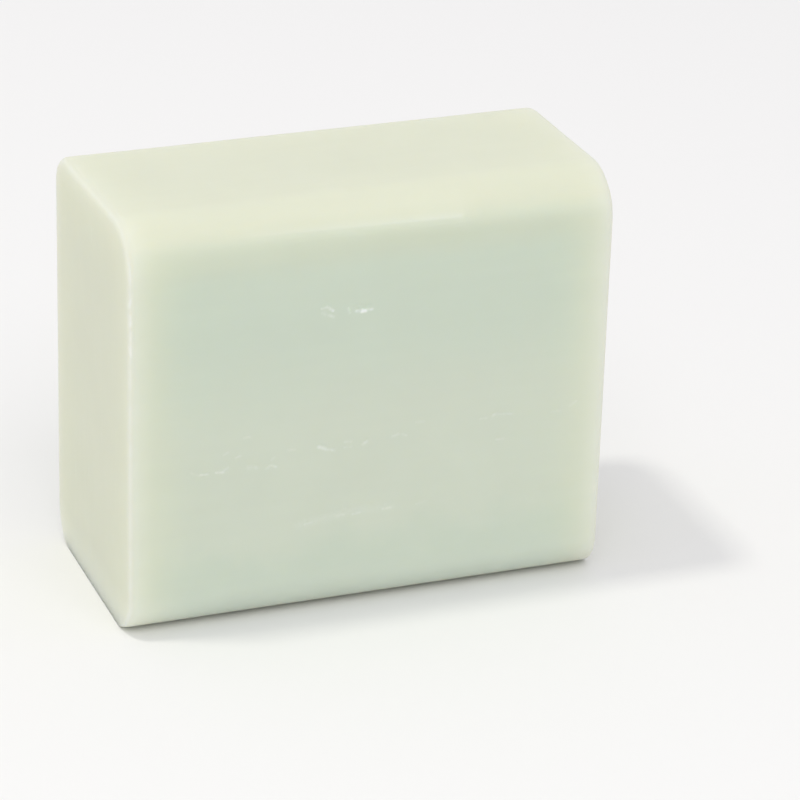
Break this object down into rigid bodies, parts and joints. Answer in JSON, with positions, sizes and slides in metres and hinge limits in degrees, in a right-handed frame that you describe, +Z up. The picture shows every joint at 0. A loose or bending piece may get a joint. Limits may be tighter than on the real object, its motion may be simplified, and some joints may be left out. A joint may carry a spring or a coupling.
{
  "type": "shaving soap block",
  "caption": "Rectangular block of pale green translucent shaving soap on its long narrow side, with broadly rounded long edges and crisp cut ends.",
  "frame": {"origin": "centre of the face that the block stands on", "axes": "+X along the block's length, +Y from the front broad face to the back one, +Z up"},
  "size_m": [0.069, 0.035, 0.0605],
  "materials": {
    "soap": "waxy satin, faintly translucent"
  },
  "bodies": {
    "root": {"soap_block": "soap"}
  },
  "joints": []
}
